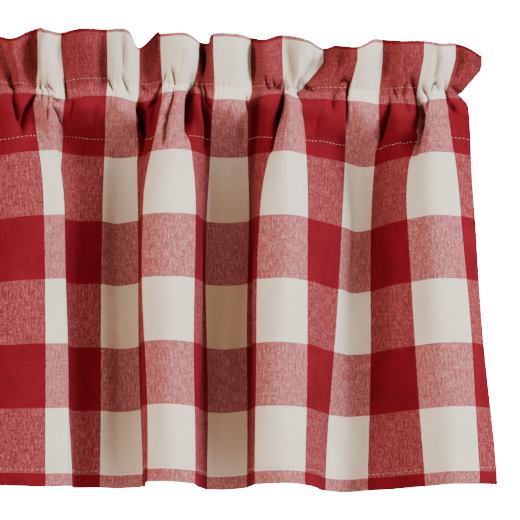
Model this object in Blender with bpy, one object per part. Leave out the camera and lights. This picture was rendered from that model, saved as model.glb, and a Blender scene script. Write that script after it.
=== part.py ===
"""A gathered window valance in a woven cotton check, as it hangs from the rod in its pocket.

Metres, +Z up. The room is towards -Y and the window towards +Y. The origin is on the fold of the
frill's top edge, where the edge crosses the plane that the folds swing about, nearest to mid-width.

The cloth is described by the woven lines between its checks. FOLDS says where each line hangs,
and the cloth between two lines swells by the width that the check has to spare.
"""

import math
from collections import namedtuple

import bmesh
import bpy
import numpy as np

# The flat cloth
FLAT_WIDTH = 1.829
DROP = 0.350
EDGE_CHECK = 0.4
CHECKS_ACROSS = 37.8
CHECK = FLAT_WIDTH / CHECKS_ACROSS

# Distances down the cloth from the frill's top edge
FRILL_LINE = 0.0105
UPPER_STITCH = 0.0315
NECK_LINE = 0.0385
WAIST_LINE = 0.0465
POCKET_LINE = 0.0575
POCKET_FOOT = 0.0690
LOWER_STITCH = 0.0803
SKIRT_SHOULDER = 0.1035
SKIRT_LINE = 0.1275
HEM_LINE = 0.3445
POCKET_HEIGHT = LOWER_STITCH - UPPER_STITCH

# Cloth thickness, and the gap where the skirt's solid meets the heading's
FRILL_THICK = 0.0030
WALL_THICK = 0.0020
SKIRT_THICK = 0.0018
GAP = 0.0003

# How much of the frill's fold depth the top edge, the upper stitches and the neck keep, and how
# much of the skirt's the pocket's foot, the lower stitches and the shoulder have taken on
EDGE_FLARE = 1.15
UPPER_PINCH = 0.4
NECK_PINCH = 0.25
NECK_OUT = 0.003
FOOT_SHARE = 0.12
LOWER_SHARE = 0.5
SHOULDER_SHARE = 0.9

# The pocket's back wall, and where down the pocket's height it stands away from the front
BACK_WALL = 0.020
BACK_RUFFLE = 0.003
POCKET_OPENS = 0.16
POCKET_FULL = 0.30
POCKET_CLOSES = 0.84

# How much of a check's spare width shows as swell: the rest goes into small puckers
FRILL_SHARE = 0.8
POCKET_SHARE = 0.6
SKIRT_SHARE = 1.0

# Where the solids have sections: distances down the cloth, and for the pocket's back wall and the
# rod's tunnel shares of the pocket's height
STEPS_PER_CHECK = 4
FRILL_SECTIONS = 0.0, FRILL_LINE, 0.021
FRONT_SECTIONS = NECK_LINE, WAIST_LINE, POCKET_LINE, POCKET_FOOT
BACK_SECTIONS = 0.19, POCKET_FULL, POCKET_CLOSES, 0.95
TUNNEL_FRONT = 0.20, 0.31, 0.53, 0.77, 0.96
TUNNEL_BACK = 0.34, 0.81
SKIRT_SECTIONS = 0.0918, SKIRT_SHOULDER, SKIRT_LINE, 0.200, 0.280
NEAR = 0.02

HEADING_COLOUR = 0.52, 0.20, 0.18
SKIRT_COLOUR = 0.55, 0.27, 0.25
SHARP_ANGLE = math.radians(50)

# One row for each woven line, from the right-hand edge of the cloth to the left, in millimetres.
# frill, neck, pocket, skirt and hem say how far the line hangs to the left of the hem's right-hand
# corner at each height, and the _out columns how far it stands out towards the room there.
# The swell columns are for the check on the line's right: 1 swells to the room, -1 to the window.
# top, sewn, waist, seam and low raise the top edge, the upper stitches, the pocket's top, the lower
# stitches and the hem at the line, and top_mid the top edge in the middle of the check on its right.
Fold = namedtuple(
    "Fold",
    "frill neck pocket skirt hem frill_out pocket_out skirt_out "
    "frill_swell pocket_swell skirt_swell top top_mid sewn waist seam low",
)
FOLDS = [
    Fold(10.5, 29, 22, 18.5, 2.5, 9, 18, 4, 0, 0, 0, -12.5, -12.5, -9, 1, 0.5, 1),
    Fold(31, 39.5, 39, 29.5, 16, 3, 22, 16, 0, 0, 0, -0.5, -5, -6, 0.7, 1, 0.5),
    Fold(56, 61.5, 62, 70, 57, 11, 17, 10, 0.5, 1, 1, -0.5, -3, -5, -3, -1, -1),
    Fold(88, 91.5, 92, 96, 100, 1, 14, -20, 0.6, 1, 0.3, 3, -0.8, -6, -2.7, -4.5, -2),
    Fold(108, 115, 117, 120, 134, 12, 18, -18, 0.4, 0.6, -1, -5.5, 0.8, -5, -0.5, -2, -2),
    Fold(134.5, 156, 151.5, 148.5, 150, -12, 22, 22, 0.5, 0.4, 0, -1, -2.5, -5, 1.5, -1.3, -0.5),
    Fold(167, 166, 168, 183, 188, -4, 19, 23, 1, 1, 1, 8, 2.8, -4, 5, 0.8, -0.5),
    Fold(192, 191.5, 194, 193.5, 194, -8, 12, -25, 0.9, 1, 0, 7, 2.2, -3, 0.7, 3.8, 1),
    Fold(221, 220, 221.5, 226.5, 226.5, 9, 13, -24, 0.8, 1, -1, 5.8, 5.8, -2.5, 1, 3.8, -0.5),
    Fold(232.5, 237.5, 241, 236, 235.5, 1, 18, 24, -0.3, 0.5, 0, 2, 0, -1, 7, 2, -0.3),
    Fold(262, 261, 261, 274, 270, 12, 25, 24, 1, 1, 1, 5, 4.5, 0, 4.5, 0.8, 1.5),
    Fold(280, 280, 281.5, 280.5, 276.5, 2, 14, -23, -0.9, -1, 0, -4, 9.5, -2, -1, 3.5, 1.5),
    Fold(304.5, 304.5, 305, 309, 309.5, 14, 16, -20, 0.8, 1, -1, 8.2, 7, 2.5, 3.5, 3, 0.5),
    Fold(341, 338, 337.5, 341.5, 331, 4, 21, -2, 0.8, 1, -0.8, 8, 8, 0, 0.5, 3.5, 0),
    Fold(361.5, 360, 361, 352.5, 349, 4, 20, 22, 0.9, 1, 0.6, 12, 7.5, -2, 5, 2, -2),
    Fold(392, 394, 396, 395, 395, -4, 20, 20, 0.5, 1, 0.6, 7, 3.2, 0, 4, -3, -1),
]

# Further left the same folds come again, each a little wider or narrower
REPEATED_FOLDS = [
    (7, 8, 9, 10),
    (11, 12, 13, 14, 15),
    (3, 4, 5, 6),
    (11, 12, 13, 14, 15),
    (7, 8, 9, 10, 11),
]
UNEVENNESS = 0.07
UNEVEN_STRIDE = 2.4
PLACES = "frill", "neck", "pocket", "skirt", "hem"
MM = 0.001


def all_folds():
    """The rows of FOLDS and those that continue them to the left-hand edge of the cloth."""
    rows = list(FOLDS)
    for fold in REPEATED_FOLDS:
        scale = 1 + UNEVENNESS * math.sin(UNEVEN_STRIDE * len(rows))
        for index in fold:
            rows.append(moved_left(FOLDS[index], FOLDS[index - 1], rows[-1], scale))
    ends = FOLDS[0]._replace(top=FOLDS[1].top, top_mid=FOLDS[1].top_mid)
    mirrored = moved_left(FOLDS[1], FOLDS[0], rows[-1], 1)
    rows.append(ends._replace(**{name: getattr(mirrored, name) for name in PLACES}))
    return rows


def moved_left(row, right_of_it, start, scale):
    """The row as the next one after start, at its own distance from the row on its right."""
    places = {
        name: getattr(start, name) + scale * (getattr(row, name) - getattr(right_of_it, name))
        for name in PLACES
    }
    return row._replace(**places)


def lines_across(rows):
    """Where each woven line is in the flat cloth, in checks from its right-hand edge."""
    inner = [EDGE_CHECK + n for n in range(len(rows) - 1)]
    return [0.0, *inner[:-1], inner[-2] + EDGE_CHECK]


def swell_point(right, left, width, swell):
    """The middle of a check of this width between two lines, each at (x, out)."""
    dx, dout = left[0] - right[0], left[1] - right[1]
    chord = math.hypot(dx, dout)
    spare = max(width / chord - 1, 0)
    rise = swell * chord * math.sqrt(0.375 * spare)
    x, out = (right[0] + left[0]) / 2, (right[1] + left[1]) / 2
    return x + rise * dout / chord, out - rise * dx / chord


def stations(rows, place, out, swell, share):
    """(places across, values (x, out)) at each woven line and in each check's middle."""
    across, places, found = lines_across(rows), [], []
    for n, row in enumerate(rows):
        here = -MM * getattr(row, place), MM * getattr(row, out)
        if n:
            width = CHECK * (across[n] - across[n - 1])
            middle = swell_point(found[-1], here, width, share * getattr(row, swell))
            places.append((across[n] + across[n - 1]) / 2)
            found.append(middle)
        places.append(across[n])
        found.append(here)
    return np.array(places), np.array(found)


def heights(rows, column, middle_column=None):
    """(places across, heights) of an edge or seam, at each line and, where given, between them."""
    across, places, found = lines_across(rows), [], []
    for n, row in enumerate(rows):
        if n and middle_column:
            places.append((across[n] + across[n - 1]) / 2)
            found.append(MM * getattr(row, middle_column))
        places.append(across[n])
        found.append(MM * getattr(row, column))
    return np.array(places), np.array(found)


def smooth(places, values, at):
    """Values on a smooth curve through the knots, for each place in at."""
    places, values, at = np.asarray(places), np.asarray(values), np.asarray(at, float)
    n = np.clip(np.searchsorted(places, at, side="right") - 1, 0, len(places) - 2)
    before, after = np.maximum(n - 1, 0), np.minimum(n + 2, len(places) - 1)
    shape = at.shape + (1,) * (values.ndim - 1)
    span = (places[n + 1] - places[n]).reshape(shape)
    t = np.clip(((at - places[n]).reshape(shape)) / span, 0, 1)
    a, b = values[n], values[n + 1]
    slope_in = span * (b - values[before]) / (places[n + 1] - places[before]).reshape(shape)
    slope_out = span * (values[after] - a) / (places[after] - places[n]).reshape(shape)
    return (
        a * (1 + 2 * t) * (1 - t) ** 2
        + slope_in * t * (1 - t) ** 2
        + b * t * t * (3 - 2 * t)
        - slope_out * t * t * (1 - t)
    )


def rod_opening(share):
    """How far open the pocket is at a share of its height from the top: 0 sewn, 1 round the rod."""
    rising = (POCKET_FULL - share) / (POCKET_FULL - POCKET_OPENS)
    falling = (share - POCKET_CLOSES) / (1 - POCKET_CLOSES)
    left = np.clip(np.maximum(rising, falling), 0, 1)
    return np.sqrt(1 - left * left)


class Cloth:
    """The gathered cloth as a surface. Places are arrays: across in checks, down in metres."""

    def __init__(self):
        rows = all_folds()
        self.width = lines_across(rows)[-1]
        self.frill = stations(rows, "frill", "frill_out", "frill_swell", FRILL_SHARE)
        self.neck = stations(rows, "neck", "frill_out", "frill_swell", 0)
        self.pocket = stations(rows, "pocket", "pocket_out", "pocket_swell", POCKET_SHARE)
        self.skirt = stations(rows, "skirt", "skirt_out", "skirt_swell", SKIRT_SHARE)
        self.hem = stations(rows, "hem", "skirt_out", "skirt_swell", SKIRT_SHARE)
        self.rises = [
            heights(rows, "top", "top_mid"),
            heights(rows, "sewn"),
            heights(rows, "waist"),
            heights(rows, "seam"),
            heights(rows, "low"),
        ]
        self.shift = np.zeros(3)
        self.shift = -self.front(np.array([self.crossing()]), np.array([0.0]))[0, 0]

    def crossing(self):
        """Where, nearest to mid-width, the top edge crosses the plane that the folds swing about."""
        places = self.width * np.arange(120, 281) / 400
        out = smooth(*self.frill, places)[:, 1]
        found = [
            (abs(2 * a - self.width), a, b)
            for a, b, p, q in zip(places, places[1:], out, out[1:])
            if p * q <= 0
        ]
        _, a, b = min(found)
        for _ in range(30):
            mid = (a + b) / 2
            ends = smooth(*self.frill, np.array([a, mid]))[:, 1]
            if ends[0] * ends[1] <= 0:
                b = mid
            else:
                a = mid
        return a

    def front(self, across, down):
        """[down, across, xyz] of the cloth as it hangs towards the room."""
        frill, neck, pocket, skirt, hem = (
            smooth(*knots, across)
            for knots in (self.frill, self.neck, self.pocket, self.skirt, self.hem)
        )
        x = smooth(
            [FRILL_LINE, NECK_LINE, POCKET_LINE, SKIRT_LINE, HEM_LINE],
            [frill[:, 0], neck[:, 0], pocket[:, 0], skirt[:, 0], hem[:, 0]],
            down,
        )

        def between(share):
            return pocket[:, 1] + share * (skirt[:, 1] - pocket[:, 1])

        depths = [
            (0, EDGE_FLARE * frill[:, 1]),
            (FRILL_LINE, frill[:, 1]),
            (UPPER_STITCH, UPPER_PINCH * frill[:, 1]),
            (NECK_LINE, NECK_OUT + NECK_PINCH * frill[:, 1]),
            (POCKET_LINE, pocket[:, 1]),
            (POCKET_FOOT, between(FOOT_SHARE)),
            (LOWER_STITCH, between(LOWER_SHARE)),
            (SKIRT_SHOULDER, between(SHOULDER_SHARE)),
            (SKIRT_LINE, skirt[:, 1]),
            (HEM_LINE, hem[:, 1]),
        ]
        out = smooth(*zip(*depths), down)
        return np.stack([x, -out, self.height(across, down)], axis=-1) + self.shift

    def height(self, across, down):
        """How high each place on the cloth hangs."""
        raised = [smooth(*knots, across) for knots in self.rises]
        levels = [0, UPPER_STITCH, WAIST_LINE, LOWER_STITCH, DROP]
        return smooth(levels, raised, down) - down[:, None]

    def place(self, across, down, wall):
        """The middle of each place's own layer: wall is 1 in front of the rod, -1 behind it."""
        points = self.front(across, down)
        opened = rod_opening((down - UPPER_STITCH) / POCKET_HEIGHT) * (wall < 0)
        back = BACK_WALL + BACK_RUFFLE * np.sin(2 * np.pi * across) + self.shift[1]
        points[..., 1] += (back[None, :] - points[..., 1]) * opened[:, None]
        return points

    def surface(self, across, down, offset, wall):
        """[down, across, xyz] this far off the middle of the layer, towards the room if positive."""
        points = self.place(across, down, wall)
        right = self.place(np.maximum(across - NEAR, 0), down, wall)
        left = self.place(np.minimum(across + NEAR, self.width), down, wall)
        run = left - right
        length = np.hypot(run[..., 0], run[..., 1])
        normal = np.stack([-run[..., 1] / length, run[..., 0] / length], axis=-1)
        points[..., :2] += normal * offset[:, None, None]
        return points

    def samples(self):
        """The places across at which the solids have a section."""
        inner = lines_across(all_folds())[-2]
        whole = round((inner - EDGE_CHECK) * STEPS_PER_CHECK)
        middle = [EDGE_CHECK + n / STEPS_PER_CHECK for n in range(whole + 1)]
        return np.array([0.0, EDGE_CHECK / 2, *middle, self.width - EDGE_CHECK / 2, self.width])


def pocket_downs(shares):
    """Distances down the cloth for these shares of the pocket's height."""
    return [UPPER_STITCH + share * POCKET_HEIGHT for share in shares]


def heading_sections():
    """Two loops of (down, offset, wall) round the heading: its outside, and the rod's tunnel."""
    half, thin = FRILL_THICK / 2, WALL_THICK / 2
    sewn = [*FRILL_SECTIONS, UPPER_STITCH]
    front = [(down, half, 1) for down in sewn]
    front += [(down, thin, 1) for down in FRONT_SECTIONS]
    seam = [(LOWER_STITCH, half, 1), (LOWER_STITCH, -half, 1)]
    back = [(down, -half, 1) for down in sewn]
    back += [(down, -thin, -1) for down in pocket_downs(BACK_SECTIONS)]
    tunnel = [(down, -thin, 1) for down in pocket_downs(TUNNEL_FRONT)]
    tunnel += [(down, thin, -1) for down in reversed(pocket_downs(TUNNEL_BACK))]
    return [front + seam + back[::-1], tunnel]


def skirt_sections():
    """One loop of (down, offset, wall) round the single layer of the skirt."""
    downs = [LOWER_STITCH + GAP, *SKIRT_SECTIONS, DROP]
    front = [(down, SKIRT_THICK / 2, 1) for down in downs]
    return [front + [(down, -offset, 1) for down, offset, _ in reversed(front)]]


def swept(name, cloth, loops, colour):
    """A closed solid whose section is these loops, swept across the whole cloth."""
    bm = bmesh.new()
    ends = [], []
    for loop in loops:
        points = cloth.surface(cloth.samples(), *np.transpose(loop))
        rings = [[bm.verts.new(point) for point in points[:, n]] for n in range(points.shape[1])]
        for ring, following in zip(rings, rings[1:]):
            for n in range(len(loop)):
                bm.faces.new((ring[n - 1], ring[n], following[n], following[n - 1]))
        for end, ring in zip(ends, (rings[0], rings[-1])):
            end += [bm.edges.get((ring[n - 1], ring[n])) for n in range(len(ring))]
    for end, side in zip(ends, (1, -1)):
        bmesh.ops.triangle_fill(bm, use_beauty=True, edges=end, normal=(side, 0, 0))
    bmesh.ops.recalc_face_normals(bm, faces=bm.faces)
    mesh = bpy.data.meshes.new(name)
    bm.to_mesh(mesh)
    bm.free()
    mesh.shade_smooth()
    mesh.set_sharp_from_angle(angle=SHARP_ANGLE)
    mesh.materials.append(cotton(name, colour))
    return bpy.data.objects.new(name, mesh)


def cotton(name, colour):
    """Matt cotton, in the mean colour of the checks on this piece."""
    material = bpy.data.materials.new(f"{name}_cotton")
    material.use_nodes = True
    shader = material.node_tree.nodes["Principled BSDF"]
    shader.inputs["Base Color"].default_value = (*colour, 1)
    shader.inputs["Roughness"].default_value = 0.9
    shader.inputs["Metallic"].default_value = 0
    return material


def main():
    for leftover in list(bpy.data.objects):
        bpy.data.objects.remove(leftover)
    collection = bpy.data.collections.new("window_valance")
    bpy.context.scene.collection.children.link(collection)
    cloth = Cloth()
    collection.objects.link(swept("heading", cloth, heading_sections(), HEADING_COLOUR))
    collection.objects.link(swept("skirt", cloth, skirt_sections(), SKIRT_COLOUR))


main()
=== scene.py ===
"""Looks of the gathered window valance: one sheet of woven cotton check, and its stitching.

Metres, +Z up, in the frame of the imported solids. The room is towards -Y. The cloth is laid out
from its flat size: "across" counts checks from the right-hand edge, and "down" is the distance
below the frill's top edge.
"""

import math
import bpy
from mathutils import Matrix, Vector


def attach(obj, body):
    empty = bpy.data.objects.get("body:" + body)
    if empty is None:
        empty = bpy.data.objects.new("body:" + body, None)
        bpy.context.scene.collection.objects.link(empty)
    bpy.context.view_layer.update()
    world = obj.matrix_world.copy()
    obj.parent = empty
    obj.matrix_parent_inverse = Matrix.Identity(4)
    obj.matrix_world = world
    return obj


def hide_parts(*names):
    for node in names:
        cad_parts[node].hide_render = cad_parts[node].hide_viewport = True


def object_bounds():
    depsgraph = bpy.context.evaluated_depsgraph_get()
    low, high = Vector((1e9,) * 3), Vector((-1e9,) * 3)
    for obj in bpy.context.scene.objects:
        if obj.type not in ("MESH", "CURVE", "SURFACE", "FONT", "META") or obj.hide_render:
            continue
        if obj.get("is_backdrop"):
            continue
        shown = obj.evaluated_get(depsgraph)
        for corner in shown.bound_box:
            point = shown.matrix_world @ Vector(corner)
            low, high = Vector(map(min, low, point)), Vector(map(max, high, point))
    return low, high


bl_info = {
    "name": "Window valance",
    "version": (1, 0, 0),
    "blender": (4, 5, 0),
    "location": "View3D > Sidebar > Valance",
    "description": "Makes a gathered window valance in a woven cotton check",
    "category": "Object",
}

from collections import namedtuple

import bpy
import numpy as np
from bpy.props import FloatProperty, FloatVectorProperty, PointerProperty
from mathutils import Vector

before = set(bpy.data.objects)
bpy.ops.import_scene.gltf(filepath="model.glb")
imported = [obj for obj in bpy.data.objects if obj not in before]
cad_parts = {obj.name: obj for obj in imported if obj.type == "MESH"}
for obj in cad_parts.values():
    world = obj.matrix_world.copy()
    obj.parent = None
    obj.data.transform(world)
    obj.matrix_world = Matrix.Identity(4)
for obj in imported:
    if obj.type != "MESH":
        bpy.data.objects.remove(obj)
CAD_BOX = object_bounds()
MM = 0.001

# ---- how the cloth hangs

# The flat cloth's width, how far it hangs down, and what its right-hand edge leaves of a check
FLAT_WIDTH = 1.829
DROP = 0.350
EDGE_CHECK = 0.4
CHECKS_ACROSS = 37.8
CHECK = FLAT_WIDTH / CHECKS_ACROSS

# How far down the front each line lies
FRILL_LINE = 0.0105
UPPER_STITCH = 0.0315
NECK_LINE = 0.0385
WAIST_LINE = 0.0465
POCKET_LINE = 0.0575
POCKET_FOOT = 0.0690
LOWER_STITCH = 0.0803
SKIRT_SHOULDER = 0.1035
SKIRT_LINE = 0.1275
HEM_LINE = 0.3445
HEM_STITCH = 0.337
POCKET_HEIGHT = LOWER_STITCH - UPPER_STITCH

# How much of the frill's depth the top edge, the upper stitches and the neck have, how far the neck
# stands out, and how far the depth has gone over from the pocket's to the skirt's at the pocket's
# foot, the lower stitches and the shoulder
EDGE_FLARE = 1.15
UPPER_PINCH = 0.4
NECK_PINCH = 0.25
NECK_OUT = 0.003
FOOT_SHARE = 0.12
LOWER_SHARE = 0.5
SHOULDER_SHARE = 0.9

# The layer behind the rod: how far back it hangs, its ruffle, and the shares of the pocket's height
# at which it leaves the front layer, hangs fully back, and starts towards the front again
BACK_WALL = 0.020
BACK_RUFFLE = 0.003
POCKET_OPENS = 0.16
POCKET_FULL = 0.30
POCKET_CLOSES = 0.84

# The square of a shallow arch's rise, for each share of cloth that it has to spare
ARCH = 0.375

# Where the search for the frame's origin runs, in steps of the cloth's width, and how often it
# halves the step that it finds
CROSSING_STEPS = 400
CROSSING_RANGE = 120, 281
CROSSING_HALVINGS = 30

# One row for each woven line, from the right-hand edge of the cloth to the left, in millimetres.
# frill, neck, pocket, skirt and hem say how far the line hangs to the left of the hem's right-hand
# corner at each height, and the _out columns how far it stands out towards the room there.
Fold = namedtuple(
    "Fold",
    "frill neck pocket skirt hem frill_out pocket_out skirt_out "
    "frill_swell pocket_swell skirt_swell top top_mid sewn waist seam low",
)
FOLDS = [
    Fold(10.5, 29, 22, 18.5, 2.5, 9, 18, 4, 0, 0, 0, -12.5, -12.5, -9, 1, 0.5, 1),
    Fold(31, 39.5, 39, 29.5, 16, 3, 22, 16, 0, 0, 0, -0.5, -5, -6, 0.7, 1, 0.5),
    Fold(56, 61.5, 62, 70, 57, 11, 17, 10, 0.5, 1, 1, -0.5, -3, -5, -3, -1, -1),
    Fold(88, 91.5, 92, 96, 100, 1, 14, -20, 0.6, 1, 0.3, 3, -0.8, -6, -2.7, -4.5, -2),
    Fold(108, 115, 117, 120, 134, 12, 18, -18, 0.4, 0.6, -1, -5.5, 0.8, -5, -0.5, -2, -2),
    Fold(134.5, 156, 151.5, 148.5, 150, -12, 22, 22, 0.5, 0.4, 0, -1, -2.5, -5, 1.5, -1.3, -0.5),
    Fold(167, 166, 168, 183, 188, -4, 19, 23, 1, 1, 1, 8, 2.8, -4, 5, 0.8, -0.5),
    Fold(192, 191.5, 194, 193.5, 194, -8, 12, -25, 0.9, 1, 0, 7, 2.2, -3, 0.7, 3.8, 1),
    Fold(221, 220, 221.5, 226.5, 226.5, 9, 13, -24, 0.8, 1, -1, 5.8, 5.8, -2.5, 1, 3.8, -0.5),
    Fold(232.5, 237.5, 241, 236, 235.5, 1, 18, 24, -0.3, 0.5, 0, 2, 0, -1, 7, 2, -0.3),
    Fold(262, 261, 261, 274, 270, 12, 25, 24, 1, 1, 1, 5, 4.5, 0, 4.5, 0.8, 1.5),
    Fold(280, 280, 281.5, 280.5, 276.5, 2, 14, -23, -0.9, -1, 0, -4, 9.5, -2, -1, 3.5, 1.5),
    Fold(304.5, 304.5, 305, 309, 309.5, 14, 16, -20, 0.8, 1, -1, 8.2, 7, 2.5, 3.5, 3, 0.5),
    Fold(341, 338, 337.5, 341.5, 331, 4, 21, -2, 0.8, 1, -0.8, 8, 8, 0, 0.5, 3.5, 0),
    Fold(361.5, 360, 361, 352.5, 349, 4, 20, 22, 0.9, 1, 0.6, 12, 7.5, -2, 5, 2, -2),
    Fold(392, 394, 396, 395, 395, -4, 20, 20, 0.5, 1, 0.6, 7, 3.2, 0, 4, -3, -1),
]

# Further left the same folds come again, each a little wider or narrower
REPEATED_FOLDS = [
    (7, 8, 9, 10),
    (11, 12, 13, 14, 15),
    (3, 4, 5, 6),
    (11, 12, 13, 14, 15),
    (7, 8, 9, 10, 11),
]
UNEVENNESS = 0.07
UNEVEN_STRIDE = 2.4

# The columns of a fold's places, depths and swelling at each height, and how much of the spare cloth
# swells out there
LEVELS = [
    ("frill", "frill_out", "frill_swell", 0.8),
    ("neck", "frill_out", "frill_swell", 0),
    ("pocket", "pocket_out", "pocket_swell", 0.6),
    ("skirt", "skirt_out", "skirt_swell", 1),
    ("hem", "skirt_out", "skirt_swell", 1),
]
PLACES = [place for place, *_ in LEVELS]

# CREASE_EDGE below 2 sharpens a crease's sides, and beyond CREASE_ENDS of its length it gets no
# shallower. One steeper than STEEP_FROM gets painted shade in its core, over CREASE_SHADE_CORE of its
# width, and pulls in the cloth beside it by up to CREASE_PULL. The pull fades over PULL_FADES
# millimetres of width and is gone at NO_PULL_FROM. GAP_EDGE is how hard the sides of the painted
# shade in a gap or a deep fold are.
CREASE_EDGE = 1.5
CREASE_ENDS = 0.03, 0.97
STEEP_FROM = 0.5
CREASE_SHADE_CORE = 0.8
CREASE_PULL = 0.6
NO_PULL_FROM = 6.4
PULL_FADES = 4
GAP_EDGE = 4

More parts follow.
